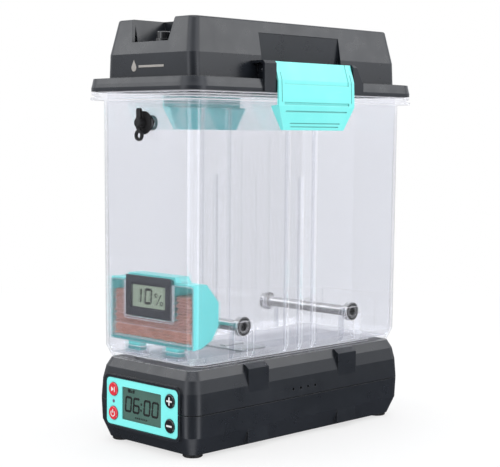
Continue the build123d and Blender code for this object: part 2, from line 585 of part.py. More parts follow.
# =====================================================================================
# Desiccant case with hygrometer
# =====================================================================================
CASE_PROFILE = [
    (CASE_FRONT_Y, CASE_BOTTOM_Z), (-97.0, 74.8), (-87.2, 79.6), (-80.8, 89.1),
    (-80.8, 105.2), (-92.3, CASE_TOP_Z), (CASE_FRONT_Y, CASE_TOP_Z),
]
CAVITY_PROFILE = [
    (CASE_FRONT_Y - 1, 75.8), (-97.4, 76.6), (-88.2, 80.9), (-82.6, 89.6),
    (-82.6, 104.5), (-93.1, 116.6), (CASE_FRONT_Y - 1, 116.6),
]
METER_BODY_WIDTH, METER_BODY_HEIGHT = 45.8, 26.2
METER_POCKET_WALL = 1.2
METER_BACK_Y = -92.6
POCKET_HALF_WIDTH = METER_BODY_WIDTH / 2 + 0.3
POCKET_LOW_Z = METER_Z - METER_BODY_HEIGHT / 2 - 0.3
BEAD_TOP_Z = 110.0
CAVITY_HALF_WIDTH = CASE_HALF_WIDTH - CASE_WALL
HUMP_HALF_LOW, HUMP_HALF_HIGH, HUMP_TOP_Z = 26.0, 24.4, 122.6
HUMP_PROFILE = [
    (CASE_FRONT_Y, 117.4), (CASE_FRONT_Y, HUMP_TOP_Z), (-91.6, HUMP_TOP_Z), (-88.2, 113.2), (-92.7, 117.4),
]

with BuildPart() as meter_hump:
    extrude(profile_yz(HUMP_PROFILE, -HUMP_HALF_LOW), 2 * HUMP_HALF_LOW)
    extrude(profile_xz([(-HUMP_HALF_LOW, 112.0), (HUMP_HALF_LOW, 112.0), (HUMP_HALF_LOW, CASE_TOP_Z),
                        (HUMP_HALF_HIGH, HUMP_TOP_Z), (-HUMP_HALF_HIGH, HUMP_TOP_Z),
                        (-HUMP_HALF_LOW, CASE_TOP_Z)], -80.0), 30, mode=Mode.INTERSECT)

with BuildPart() as desiccant_case:
    extrude(profile_yz(CASE_PROFILE, -CASE_HALF_WIDTH), 2 * CASE_HALF_WIDTH)
    extrude(profile_yz(CAVITY_PROFILE, -CAVITY_HALF_WIDTH), 2 * CAVITY_HALF_WIDTH, mode=Mode.SUBTRACT)
    # walled pocket that keeps the beads away from the hygrometer
    wall_half = POCKET_HALF_WIDTH + METER_POCKET_WALL
    extrude(front_panel(2 * wall_half, CASE_TOP_Z - 1 - POCKET_LOW_Z + METER_POCKET_WALL, 1.0, CASE_FRONT_Y,
                        0, (CASE_TOP_Z - 1 + POCKET_LOW_Z - METER_POCKET_WALL) / 2), 11.8, dir=(0, 1, 0))
    # raised roof over the hygrometer, then the pocket itself
    add(meter_hump.part)
    extrude(front_panel(2 * POCKET_HALF_WIDTH, 2 * (METER_Z - POCKET_LOW_Z), 0.8, CASE_FRONT_Y - 1,
                        0, METER_Z), METER_BACK_Y - CASE_FRONT_Y + 1, dir=(0, 1, 0), mode=Mode.SUBTRACT)
    # pegs that stand in the cups of the tank floor
    for side in (1, -1):
        with BuildSketch(Plane.XY.offset(67.4)) as peg:
            with Locations((side * PEG_X, PEG_Y)):
                RectangleRounded(13.6, 5.6, 0.8)
        extrude(amount=8.0)
save(desiccant_case, "desiccant_case")

COVER_HALF_WIDTH = CASE_HALF_WIDTH - 0.8
COVER_TOP_Z = 117.2
with BuildPart() as desiccant_cover:
    cover_height = COVER_TOP_Z - CASE_BOTTOM_Z
    extrude(front_panel(2 * COVER_HALF_WIDTH, cover_height, 2.0, COVER_FACE_Y, 0,
                        CASE_BOTTOM_Z + cover_height / 2), CASE_FRONT_Y - COVER_FACE_Y, dir=(0, 1, 0))
    fillet(desiccant_cover.faces().sort_by(Axis.Y)[0].edges(), 0.7)
    # lip that plugs into the case
    extrude(front_panel(2 * CAVITY_HALF_WIDTH - 0.6, 9.0, 0.8, CASE_FRONT_Y, 0, 81.2), 1.4, dir=(0, 1, 0))
    # clearance of the hygrometer, open at the top
    extrude(front_panel(2 * (POCKET_HALF_WIDTH + 0.4), 40.0, 1.2, COVER_FACE_Y - 1,
                        0, POCKET_LOW_Z - 0.4 + 20.0), 6, dir=(0, 1, 0), mode=Mode.SUBTRACT)
save(desiccant_cover, "desiccant_cover")

with BuildPart() as desiccant_beads:
    extrude(profile_yz([(CASE_FRONT_Y, 77.0), (-97.5, 77.6), (-89.2, 81.6), (-83.4, 90.0),
                        (-83.4, 104.0), (-88.6, BEAD_TOP_Z), (CASE_FRONT_Y, BEAD_TOP_Z)],
                       -CAVITY_HALF_WIDTH + 0.6), 2 * CAVITY_HALF_WIDTH - 1.2)
    extrude(front_panel(2 * wall_half + 0.6, 40, 1.0, CASE_FRONT_Y - 1, 0,
                        POCKET_LOW_Z - METER_POCKET_WALL - 0.3 + 20), 13.6, dir=(0, 1, 0), mode=Mode.SUBTRACT)
    extrude(front_panel(90, 14, 0.8, CASE_FRONT_Y - 1, 0, 81.2), 3.0, dir=(0, 1, 0), mode=Mode.SUBTRACT)
save(desiccant_beads, "desiccant_beads")

METER_PLATE_THICKNESS = COVER_FACE_Y - METER_FACE_Y - 0.1
METER_RIM = 0.9
with BuildPart() as hygrometer_body:
    # face frame, deep body, then the window and the display cavity
    extrude(front_panel(METER_WIDTH, METER_HEIGHT, 0.8, METER_FACE_Y, 0, METER_Z),
            METER_PLATE_THICKNESS, dir=(0, 1, 0))
    chamfer(hygrometer_body.faces().sort_by(Axis.Y)[0].edges(), 0.4)
    extrude(front_panel(METER_BODY_WIDTH, METER_BODY_HEIGHT, 0.8, METER_FACE_Y + METER_PLATE_THICKNESS,
                        0, METER_Z), 12.6, dir=(0, 1, 0))
    extrude(front_panel(36.4, 17.6, 1.2, METER_FACE_Y, 0, METER_Z), METER_RIM, dir=(0, 1, 0),
            mode=Mode.SUBTRACT)
    extrude(front_panel(34.0, 15.6, 0.5, METER_FACE_Y, 0, METER_Z), METER_RIM + 2.0, dir=(0, 1, 0),
            mode=Mode.SUBTRACT)
    # battery bay open at the back
    extrude(front_disc(6.0, 10, METER_BACK_Y - 5.2, METER_Z), 10, dir=(0, 1, 0), mode=Mode.SUBTRACT)
save(hygrometer_body, "hygrometer_body")

with BuildPart() as hygrometer_display:
    extrude(front_panel(33.8, 15.4, 0.4, METER_FACE_Y + METER_RIM, 0, METER_Z), 1.9, dir=(0, 1, 0))
save(hygrometer_display, "hygrometer_display")

with BuildPart() as hygrometer_cell:
    extrude(front_disc(5.8, 10, METER_BACK_Y - 5.0, METER_Z), 4.6, dir=(0, 1, 0))
save(hygrometer_cell, "hygrometer_cell")

# =====================================================================================
# Rubber plug in the front wall
# =====================================================================================
PLUG_FLANGE_RADIUS = 8.0
PLUG_NUB_RADIUS = 3.4
WALL_FACE_Y = -110.5
STRAP_FACE_Y = -116.4
STRAP_THICKNESS = 1.8
STRAP_RING_Z = PLUG_Z - 8.6
with BuildPart() as wall_plug:
    extrude(front_disc(PLUG_RADIUS, 0, WALL_FACE_Y - 0.2, PLUG_Z), 7.6, dir=(0, 1, 0))
    extrude(front_disc(PLUG_FLANGE_RADIUS, 0, WALL_FACE_Y - 0.2, PLUG_Z), 1.6)
    extrude(front_disc(PLUG_NUB_RADIUS, 0, WALL_FACE_Y - 1.8, PLUG_Z), 5.4)
    fillet(wall_plug.faces().sort_by(Axis.Y)[0].edges(), 1.0)
    extrude(front_disc(2.0, 0, -105.0, PLUG_Z), -3.0, mode=Mode.SUBTRACT)
    # pull tab above the nub, strap and ring hanging below it
    extrude(front_panel(4.2, 8.0, 1.6, STRAP_FACE_Y, 0, PLUG_Z + 6.0), STRAP_THICKNESS, dir=(0, 1, 0))
    extrude(front_panel(3.0, 8.0, 0.8, STRAP_FACE_Y, 0, PLUG_Z - 4.0), STRAP_THICKNESS, dir=(0, 1, 0))
    extrude(front_disc(3.9, 0, STRAP_FACE_Y + STRAP_THICKNESS, STRAP_RING_Z), STRAP_THICKNESS)
    extrude(front_disc(2.1, 0, STRAP_FACE_Y + STRAP_THICKNESS + 1, STRAP_RING_Z), 5.0, mode=Mode.SUBTRACT)
save(wall_plug, "wall_plug")

# =====================================================================================
# Lid
# =====================================================================================
RECESS_FACE_X = 41.7
RECESS_HALF_LENGTH = 42.2
RECESS_LOW_Z, RECESS_HIGH_Z = 260.4, 291.4
NOTCH_WALL = 2.0
FITTING_HOLE_RADIUS = 4.5

with BuildPart() as ears:
    ear_outline = [(41.0, 255.0), (41.0, EAR_TOP_Z), (EAR_FACE_X - 1.8, EAR_TOP_Z),
                   (EAR_FACE_X, EAR_TOP_Z - 1.8), (EAR_FACE_X, 250.0), (55.8, 250.0), (55.8, 255.0)]
    for low_y in (-EAR_OUTER_Y, EAR_INNER_Y):
        extrude(profile_xz(ear_outline, low_y + EAR_OUTER_Y - EAR_INNER_Y), EAR_OUTER_Y - EAR_INNER_Y)
    # open pocket in the outer side of one ear, slanted shoulder on the other
    extrude(profile_xz([(44.6, 259.4), (44.6, 269.8), (55.8, 269.8), (56.6, 268.8), (56.6, 258.6)], -46.2),
            8, mode=Mode.SUBTRACT)
    extrude(profile_yz([(44.0, EAR_TOP_Z + 1), (54.0, EAR_TOP_Z + 1), (54.0, 257.5), (53.0, 257.5),
                        (44.0, EAR_TOP_Z)], 40.0), 20, mode=Mode.SUBTRACT)

with BuildPart() as lid_shell:
    extrude(section(SKIRT_BOTTOM), 2.4)
    loft([section(SKIRT_BOTTOM, height=252.4), section(SKIRT_TOP)], ruled=True)
    loft([section(SKIRT_TOP), section(SKIRT_CHAMFER)], ruled=True)
    loft([section(SKIRT_CHAMFER), section(DOME_BASE)], ruled=True)
    loft([section(DOME_BASE), section(DOME_CREASE)], ruled=True)
    loft([section(DOME_CREASE), section(DOME_TOP)], ruled=True)
    fillet(lid_shell.faces().sort_by(Axis.Z)[-1].edges(), 1.8)
    # hollow inside
    extrude(section(SKIRT_BOTTOM, LID_WALL), LID_SEAT_Z - SKIRT_BOTTOM[3], mode=Mode.SUBTRACT)
    extrude(section(DOME_CREASE, LID_WALL, 249.0), DOME_CREASE[3] - 249.0, mode=Mode.SUBTRACT)
    loft([section(DOME_CREASE, LID_WALL), section(DOME_TOP, LID_WALL, DOME_TOP[3] - LID_WALL)],
         ruled=True, mode=Mode.SUBTRACT)
    # thicker side walls behind the latch recesses, then the recesses and the latch ears
    for side in (1, -1):
        with BuildSketch(Plane.XY.offset(256)) as backing:
            with Locations((side * 40.3, 0)):
                Rectangle(3.1, 2 * RECESS_HALF_LENGTH + 4)
        extrude(amount=35.8)
        with BuildSketch(Plane.XY.offset(RECESS_LOW_Z)) as recess:
            with Locations((side * (RECESS_FACE_X + 5), 0)):
                Rectangle(10, 2 * RECESS_HALF_LENGTH)
        extrude(amount=RECESS_HIGH_Z - RECESS_LOW_Z, mode=Mode.SUBTRACT)
    add(ears.part)
    add(ears.part.rotate(Axis.Z, 180))
    for side in (1, -1):
        extrude(front_disc(PIN_RADIUS + PIN_CLEARANCE, side * PIVOT_X, 50.2, PIVOT_Z), 100.4,
                mode=Mode.SUBTRACT)
    # pocket of the filament outlet in the front of the dome: its walls, then its hollow
    wall_low = NOTCH_HALF_LOW + NOTCH_WALL
    wall_high = NOTCH_HALF_HIGH + NOTCH_WALL
    extrude(profile_xz([(-wall_low, NOTCH_FLOOR_Z - NOTCH_WALL), (wall_low, NOTCH_FLOOR_Z - NOTCH_WALL),
                        (wall_high, 298.0), (-wall_high, 298.0)], NOTCH_BACK_Y + NOTCH_WALL), 29.6)
    extrude(profile_xz([(-NOTCH_HALF_LOW, NOTCH_FLOOR_Z), (NOTCH_HALF_LOW, NOTCH_FLOOR_Z),
                        (NOTCH_HALF_HIGH, 301.0), (-NOTCH_HALF_HIGH, 301.0)], NOTCH_BACK_Y), 40,
            mode=Mode.SUBTRACT)
    extrude(floor_discs(FITTING_HOLE_RADIUS, [(0, OUTLET_FITTING_Y)], 280), 10, mode=Mode.SUBTRACT)
save(lid_shell, "lid_shell")

with BuildPart() as lid_gasket:
    gasket_outline = (107.0, 229.0, 11.0, TANK_RIM_Z)
    extrude(section(gasket_outline) - section(gasket_outline, 3.6), LID_SEAT_Z - TANK_RIM_Z)
save(lid_gasket, "lid_gasket")

with BuildPart() as latch_pins:
    for side in (1, -1):
        extrude(front_disc(PIN_RADIUS, side * PIVOT_X, 50.0, PIVOT_Z), 100.0)
save(latch_pins, "latch_pins")

COLLAR_TOP_Z = 291.2
with BuildPart() as outlet_fitting:
    extrude(floor_discs(6.2, [(0, OUTLET_FITTING_Y)], NOTCH_FLOOR_Z), 2.4)
    extrude(floor_discs(4.9, [(0, OUTLET_FITTING_Y)], NOTCH_FLOOR_Z + 2.4), COLLAR_TOP_Z - NOTCH_FLOOR_Z - 2.4)
    extrude(floor_discs(FITTING_HOLE_RADIUS - 0.1, [(0, OUTLET_FITTING_Y)], 275.6), NOTCH_FLOOR_Z - 275.6)
    chamfer(outlet_fitting.faces().sort_by(Axis.Z)[-1].edges(), 0.6)
    extrude(floor_discs(TUBE_BORE_RADIUS, [(0, OUTLET_FITTING_Y)], 275), 20, mode=Mode.SUBTRACT)
save(outlet_fitting, "outlet_fitting")

with BuildPart() as outlet_nut:
    with BuildSketch(Plane.XY.offset(278.4)) as hexagon:
        with Locations((0, OUTLET_FITTING_Y)):
            RegularPolygon(6.6, 6)
            Circle(FITTING_HOLE_RADIUS - 0.05, mode=Mode.SUBTRACT)
    extrude(amount=NOTCH_FLOOR_Z - NOTCH_WALL - 278.4)
save(outlet_nut, "outlet_nut")

# =====================================================================================
# Latches
# =====================================================================================
BARREL_RADIUS = 3.4
LATCH_PROFILE = [
    (53.0, 271.2), (55.8, 271.4), (59.9, 258.6), (60.5, 246.0), (60.5, LATCH_BEND_Z),
    (57.2, LATCH_TIP_Z), (54.6, LATCH_TIP_Z), (52.7, 239.4), (53.0, LATCH_BEND_Z),
    (58.9, 241.2), (58.9, 257.6), (56.6, 263.6), (53.5, 268.0),
]
GROOVE_DEPTH = 0.5
FIELD_HALF_WIDTH = 34.0
RAIL_LINE_Y, RAIL_LINE_WIDTH = 37.0, 0.8
GRIP_GROOVES = (
    (242.3, 60.5, 1.9, 34.5), (236.8, 59.7, 1.0, 32.5),
    (228.4, 58.1, 0.7, 26.5), (226.0, 57.7, 0.7, 25.5),
)

with BuildPart() as latch:
    extrude(profile_xz(LATCH_PROFILE, LATCH_HALF_WIDTH), 2 * LATCH_HALF_WIDTH)
    extrude(front_disc(BARREL_RADIUS, PIVOT_X, LATCH_HALF_WIDTH, PIVOT_Z), 2 * LATCH_HALF_WIDTH)
    # the lower part narrows towards the tip
    for side in (1, -1):
        corner_cut = [(side * LATCH_HALF_WIDTH, LATCH_BEND_Z), (side * LATCH_TIP_HALF_WIDTH, LATCH_TIP_Z - 1),
                      (side * (LATCH_HALF_WIDTH + 2), LATCH_TIP_Z - 1), (side * (LATCH_HALF_WIDTH + 2), LATCH_BEND_Z)]
        extrude(profile_yz(corner_cut, 45.0), 20, mode=Mode.SUBTRACT)
    # sunk field open at the top, a thin line down each side rail
    extrude(profile_xz([(62.0, 273.0), (54.8, 273.0), (59.9 - GROOVE_DEPTH, 258.6),
                        (59.5, 255.6), (62.0, 255.6)], FIELD_HALF_WIDTH), 2 * FIELD_HALF_WIDTH,
            mode=Mode.SUBTRACT)
    for line_y in (-RAIL_LINE_Y, RAIL_LINE_Y):
        extrude(profile_xz([(57.8, 264.0), (59.5, 258.6), (60.1, 246.0), (60.1, 243.3), (62.0, 243.3),
                            (62.0, 264.0)], line_y + RAIL_LINE_WIDTH / 2), RAIL_LINE_WIDTH, mode=Mode.SUBTRACT)
    # grip grooves across the lower part
    for groove_z, groove_x, groove_height, groove_half in GRIP_GROOVES:
        extrude(front_panel(1.6, groove_height, 0.3, groove_half, groove_x, groove_z), 2 * groove_half,
                mode=Mode.SUBTRACT)
    extrude(front_disc(PIN_RADIUS + PIN_CLEARANCE, PIVOT_X, LATCH_HALF_WIDTH, PIVOT_Z),
            2 * LATCH_HALF_WIDTH, mode=Mode.SUBTRACT)
save(latch, "latch_right")

with BuildPart() as latch_copy:
    add(latch.part.rotate(Axis.Z, 180))
save(latch_copy, "latch_left")
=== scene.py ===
import math
import random

import bmesh
import bpy
from mathutils import Matrix, Vector


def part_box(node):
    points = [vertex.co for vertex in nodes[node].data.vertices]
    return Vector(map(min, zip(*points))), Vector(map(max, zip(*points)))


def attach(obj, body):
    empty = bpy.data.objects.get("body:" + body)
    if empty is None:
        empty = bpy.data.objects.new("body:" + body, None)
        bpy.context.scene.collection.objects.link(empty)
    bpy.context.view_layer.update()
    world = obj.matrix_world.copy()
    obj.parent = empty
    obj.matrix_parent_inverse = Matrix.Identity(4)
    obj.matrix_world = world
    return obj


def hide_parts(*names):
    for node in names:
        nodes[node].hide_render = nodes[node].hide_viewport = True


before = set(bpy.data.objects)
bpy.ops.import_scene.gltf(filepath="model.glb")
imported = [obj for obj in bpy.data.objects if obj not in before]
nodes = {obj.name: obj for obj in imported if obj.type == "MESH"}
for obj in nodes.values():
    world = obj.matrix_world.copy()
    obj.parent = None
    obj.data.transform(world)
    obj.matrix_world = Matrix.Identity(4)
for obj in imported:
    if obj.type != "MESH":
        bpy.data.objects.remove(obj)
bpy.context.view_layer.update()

MM = 0.001

# ---------------------------------------------------------------- camera
CAMERA_PLACE = (0.69556, -0.71044, 0.22284)
CAMERA_AZIMUTH = math.radians(44.664)
CAMERA_ELEVATION = math.radians(4.410)
CAMERA_ROLL = math.radians(0.4302)
CAMERA_LENS = 95.618

back = Vector((
    math.sin(CAMERA_AZIMUTH) * math.cos(CAMERA_ELEVATION),
    -math.cos(CAMERA_AZIMUTH) * math.cos(CAMERA_ELEVATION),
    math.sin(CAMERA_ELEVATION),
))
level_right = (-back).cross(Vector((0, 0, 1))).normalized()
level_up = level_right.cross(-back)
cam_x = level_right * math.cos(CAMERA_ROLL) + level_up * math.sin(CAMERA_ROLL)
cam_y = level_up * math.cos(CAMERA_ROLL) - level_right * math.sin(CAMERA_ROLL)
camera_data = bpy.data.cameras.new("camera")
camera_data.sensor_width = 36.0
camera_data.lens = CAMERA_LENS
camera_data.clip_start = 0.01
camera_data.clip_end = 100.0
camera = bpy.data.objects.new("camera", camera_data)
bpy.context.scene.collection.objects.link(camera)
camera.matrix_world = Matrix((
    (cam_x.x, cam_y.x, back.x, CAMERA_PLACE[0]),
    (cam_x.y, cam_y.y, back.y, CAMERA_PLACE[1]),
    (cam_x.z, cam_y.z, back.z, CAMERA_PLACE[2]),
    (0, 0, 0, 1),
))
bpy.context.scene.camera = camera
bpy.context.scene.view_settings.view_transform = "Standard"


# ---------------------------------------------------------------- node helpers
def add(tree, kind, inputs=None, **settings):
    """A shader node with its settings and its inputs, each a number, a colour or another node's socket."""
    made = tree.nodes.new(kind)
    for key, value in settings.items():
        setattr(made, key, value)
    for key, value in (inputs or {}).items():
        if isinstance(value, bpy.types.NodeSocket):
            tree.links.new(value, made.inputs[key])
        else:
            made.inputs[key].default_value = value
    return made


def rgba(colour):
    return (colour[0], colour[1], colour[2], 1.0)


def blend_colour(tree, factor, first, second):
    made = add(tree, "ShaderNodeMix", data_type="RGBA")
    for index, value in ((0, factor), (6, first), (7, second)):
        if isinstance(value, bpy.types.NodeSocket):
            tree.links.new(value, made.inputs[index])
        else:
            made.inputs[index].default_value = value
    return made.outputs[2]


def times(tree, first, second):
    return add(tree, "ShaderNodeMath", {0: first, 1: second}, operation="MULTIPLY").outputs[0]


def mix_shader(tree, factor, first, second):
    return add(tree, "ShaderNodeMixShader", {0: factor, 1: first, 2: second}).outputs[0]


def relief(tree, shader, height, strength, depth, normal=None):
    """Bump up to depth metres high, over the given normal or the surface's own."""
    inputs = {"Height": height, "Strength": strength, "Distance": depth}
    if normal is not None:
        inputs["Normal"] = normal
    bump = add(tree, "ShaderNodeBump", inputs).outputs["Normal"]
    tree.links.new(bump, shader.inputs["Normal"])


def spread(tree, value, low, high, to_low, to_high):
    """The value between low and high mapped, and held, between to_low and to_high."""
    return add(tree, "ShaderNodeMapRange", {
        "Value": value, "From Min": low, "From Max": high, "To Min": to_low, "To Max": to_high,
    }).outputs["Result"]


def noise(tree, place, size, detail=3.0, stretch=None):
    """Noise whose features are about size metres across, drawn out along the axes by stretch."""
    if stretch is not None:
        place = add(tree, "ShaderNodeMapping", {"Vector": place, "Scale": stretch}).outputs["Vector"]
    return add(tree, "ShaderNodeTexNoise", {
        "Vector": place, "Scale": 1.0 / size, "Detail": detail, "Roughness": 0.55,
    }).outputs["Fac"]


def edge_mask(tree, radius):
    """1 on the corners of a solid and 0 on its flats, with the softened normal."""
    soft = add(tree, "ShaderNodeBevel", {"Radius": radius}, samples=6).outputs["Normal"]
    true = add(tree, "ShaderNodeNewGeometry").outputs["True Normal"]
    dot = add(tree, "ShaderNodeVectorMath", {0: soft, 1: true}, operation="DOT_PRODUCT").outputs["Value"]
    return spread(tree, dot, 0.99, 0.86, 0.0, 1.0), soft


def fresh(name):
    """A new material with its node tree, its shader and its object coordinates."""
    material = bpy.data.materials.new(name)
    material.use_nodes = True
    tree = material.node_tree
    place = add(tree, "ShaderNodeTexCoord").outputs["Object"]
    return material, tree, tree.nodes["Principled BSDF"], place


CREASE_REACH = 2.0 * MM
CREASE_PAINTED_SHADE = 0.8
CLOUD_SIZE = 38 * MM
SCUFF_SIZE = 5 * MM
SCUFF_STRETCH = (1.0, 0.35, 2.4)
SCUFF_SHARE = 0.22
RUBBED_LEAST, RUBBED_MOST = 0.3, 0.65
SMEAR_SIZE = 14 * MM


def moulded(name, colour, tint, rough, rough_range, grain, grain_depth, worn,
            corner=0.35 * MM, specular=0.5, coat=0.0, sheen=0.0, painted_glow=0.0):
    """Moulded plastic or rubber: cloudy colour, spark-eroded grain, faint scuffs, rubbed corners, painted
    shade in the creases and an optional painted glow.
    """
    material, tree, shader, place = fresh(name)
    cloud = noise(tree, place, CLOUD_SIZE, 4.0)
    fine = noise(tree, place, grain, 2.0)
    scuff = noise(tree, place, SCUFF_SIZE, 5.0, stretch=SCUFF_STRETCH)
    mask, soft = edge_mask(tree, corner)
    base = blend_colour(tree, spread(tree, cloud, 0.35, 0.65, 0.0, 1.0), rgba(colour), rgba(tint))
    scuffed = spread(tree, scuff, 0.66, 0.78, 0.0, SCUFF_SHARE)
    base = blend_colour(tree, scuffed, base, rgba(worn))
    rubbed = times(tree, mask, spread(tree, scuff, 0.3, 0.7, RUBBED_LEAST, RUBBED_MOST))
    base = blend_colour(tree, rubbed, base, rgba(worn))
    # painted shade: creases and hollows darken towards half the colour where ambient occlusion finds them
    # closed in
    open_share = add(tree, "ShaderNodeAmbientOcclusion", {"Distance": CREASE_REACH}, samples=6).outputs["AO"]
    base = blend_colour(tree, spread(tree, open_share, 0.95, 0.45, 0.0, CREASE_PAINTED_SHADE), base,
                        rgba([c * 0.5 for c in colour]))
    tree.links.new(base, shader.inputs["Base Color"])
    smear = noise(tree, place, SMEAR_SIZE, 5.0)
    tree.links.new(spread(tree, smear, 0.3, 0.7, rough - rough_range, rough + rough_range),
                   shader.inputs["Roughness"])
    relief(tree, shader, fine, 0.6, grain_depth, soft)
    shader.inputs["Specular IOR Level"].default_value = specular
    shader.inputs["Coat Weight"].default_value = coat
    shader.inputs["Coat Roughness"].default_value = 0.06
    shader.inputs["Sheen Weight"].default_value = sheen
    # painted light: the base colour glows a little, brightening the part in shade though it is no lamp
    if painted_glow:
        tree.links.new(base, shader.inputs["Emission Color"])
        shader.inputs["Emission Strength"].default_value = painted_glow
    return material


def metal(name, colour, tint, rough, rough_range, stretch, grain, depth):
    """Turned or ground metal: fine marks drawn out across the axis, and faint handling stains."""
    material, tree, shader, place = fresh(name)
    marks = noise(tree, place, grain, 3.0, stretch=stretch)
    stain = noise(tree, place, 9 * MM, 4.0)
    mask, soft = edge_mask(tree, 0.2 * MM)
    base = blend_colour(tree, spread(tree, stain, 0.35, 0.68, 0.0, 1.0), rgba(colour), rgba(tint))
    base = blend_colour(tree, mask, base, rgba([min(1.0, 1.15 * c) for c in colour]))
    tree.links.new(base, shader.inputs["Base Color"])
    tree.links.new(spread(tree, marks, 0.3, 0.7, rough - rough_range, rough + rough_range),
                   shader.inputs["Roughness"])
    relief(tree, shader, marks, 0.5, depth, soft)
    shader.inputs["Metallic"].default_value = 1.0
    return material


# share of the surface that is frosted where a face lies flat
FLOOR_FROST = 0.32
# painted highlight: corners glow white by emission, standing in for the light that runs inside the sheet
EDGE_REACH = 0.9 * MM
EDGE_SHARE = 0.85
EDGE_PAINTED_GLOW = 1.0
EDGE_PAINTED_COLOUR = (0.95, 0.95, 1.0, 1)
FROST_COLOUR = (0.90, 0.90, 0.95, 1)
# most of the body is a thin sheet seen straight through, and its mirror grows towards grazing sight
STRAIGHT_SHARE = 0.8
SHEET_ROUGHNESS = 0.04
SHEET_REFLECTION = 0.018
GRAZING_REFLECTION = 0.5
GRAZING_POWER = 5.0


def clear(name, tint, veil, haze, ripple, mist, shadow):
    """Clear moulded plastic: glass mixed with a straight sheet, frosted flats and edges with a painted glow.
    """
    material, tree, shader, place = fresh(name)
    flow = noise(tree, place, 45 * MM, 3.0, stretch=(1.0, 1.0, 0.45))
    dust = noise(tree, place, 2.2 * MM, 4.0)
    base = blend_colour(tree, spread(tree, flow, 0.3, 0.7, 0.0, 1.0), rgba(tint),
                        rgba([c * 0.985 for c in tint]))
    tree.links.new(base, shader.inputs["Base Color"])
    tree.links.new(spread(tree, dust, 0.45, 0.8, haze * 0.4, haze * 1.8), shader.inputs["Roughness"])
    relief(tree, shader, flow, 0.35, ripple)
    shader.inputs["Transmission Weight"].default_value = 1.0
    shader.inputs["IOR"].default_value = 1.47
    straight = add(tree, "ShaderNodeBsdfTransparent", {"Color": rgba(veil)}).outputs[0]
    mirror = add(tree, "ShaderNodeBsdfAnisotropic", {
        "Color": (1, 1, 1, 1), "Roughness": SHEET_ROUGHNESS,
    }).outputs[0]
    facing = add(tree, "ShaderNodeLayerWeight", {"Blend": 0.5}).outputs["Facing"]
    grazing = add(tree, "ShaderNodeMath", {0: facing, 1: GRAZING_POWER}, operation="POWER").outputs[0]
    reflection = spread(tree, grazing, 0.0, 1.0, SHEET_REFLECTION, GRAZING_REFLECTION)
    sheet = mix_shader(tree, reflection, straight, mirror)
    body = mix_shader(tree, STRAIGHT_SHARE, shader.outputs[0], sheet)
    normal = add(tree, "ShaderNodeNewGeometry").outputs["True Normal"]
    upward = add(tree, "ShaderNodeSeparateXYZ", {0: normal}).outputs["Z"]
    lying = add(tree, "ShaderNodeMath", {0: upward}, operation="ABSOLUTE").outputs[0]
    frost = times(tree, spread(tree, lying, 0.6, 0.95, mist, FLOOR_FROST),
                  spread(tree, dust, 0.3, 0.7, 0.85, 1.15))
    white = add(tree, "ShaderNodeBsdfDiffuse", {"Color": FROST_COLOUR}).outputs[0]
    milky = mix_shader(tree, frost, body, white)
    # painted highlight: white emission along the edges of the sheet
    painted_rim = times(tree, edge_mask(tree, EDGE_REACH)[0], EDGE_SHARE)
    painted_edge_light = add(tree, "ShaderNodeEmission", {"Color": EDGE_PAINTED_COLOUR, "Strength": EDGE_PAINTED_GLOW}).outputs[0]
    seen = mix_shader(tree, painted_rim, milky, painted_edge_light)
    through = add(tree, "ShaderNodeBsdfTransparent", {"Color": rgba(shadow)}).outputs[0]
    shade = add(tree, "ShaderNodeLightPath").outputs["Is Shadow Ray"]
    tree.links.new(mix_shader(tree, shade, seen, through), tree.nodes["Material Output"].inputs["Surface"])
    return material


def board(name):
    """Circuit board: green mask over a net of copper tracks."""
    material, tree, shader, place = fresh(name)
    cells = add(tree, "ShaderNodeTexVoronoi", {"Vector": place, "Scale": 420.0, "Randomness": 0.15},
                feature="DISTANCE_TO_EDGE", distance="EUCLIDEAN").outputs["Distance"]
    track = spread(tree, cells, 0.04, 0.09, 1.0, 0.0)
    cloud = noise(tree, place, 12 * MM, 3.0)
    base = blend_colour(tree, track, (0.012, 0.085, 0.035, 1), (0.03, 0.17, 0.06, 1))
    base = blend_colour(tree, spread(tree, cloud, 0.4, 0.7, 0.0, 0.3), base, (0.02, 0.11, 0.06, 1))
    tree.links.new(base, shader.inputs["Base Color"])
    tree.links.new(spread(tree, cloud, 0.3, 0.7, 0.28, 0.42), shader.inputs["Roughness"])
    relief(tree, shader, track, 0.4, 0.03 * MM)
    return material


def beads_look(name):
    """Porous indicating beads: orange going brown, each bead its own shade."""
    material, tree, shader, place = fresh(name)
    cells = add(tree, "ShaderNodeTexVoronoi", {"Vector": place, "Scale": 360.0}).outputs["Color"]
    own = add(tree, "ShaderNodeSeparateColor", {0: cells}).outputs[0]
    pores = noise(tree, place, 0.5 * MM, 3.0)
    base = blend_colour(tree, own, (0.66, 0.34, 0.25, 1), (0.86, 0.52, 0.42, 1))
    base = blend_colour(tree, spread(tree, pores, 0.5, 0.75, 0.0, 0.35), base, (0.46, 0.20, 0.14, 1))
    tree.links.new(base, shader.inputs["Base Color"])
    tree.links.new(spread(tree, pores, 0.3, 0.7, 0.32, 0.5), shader.inputs["Roughness"])
    relief(tree, shader, pores, 0.5, 0.05 * MM)
    shader.inputs["Subsurface Weight"].default_value = 0.25
    shader.inputs["Subsurface Radius"].default_value = (0.002, 0.001, 0.0006)
    return material


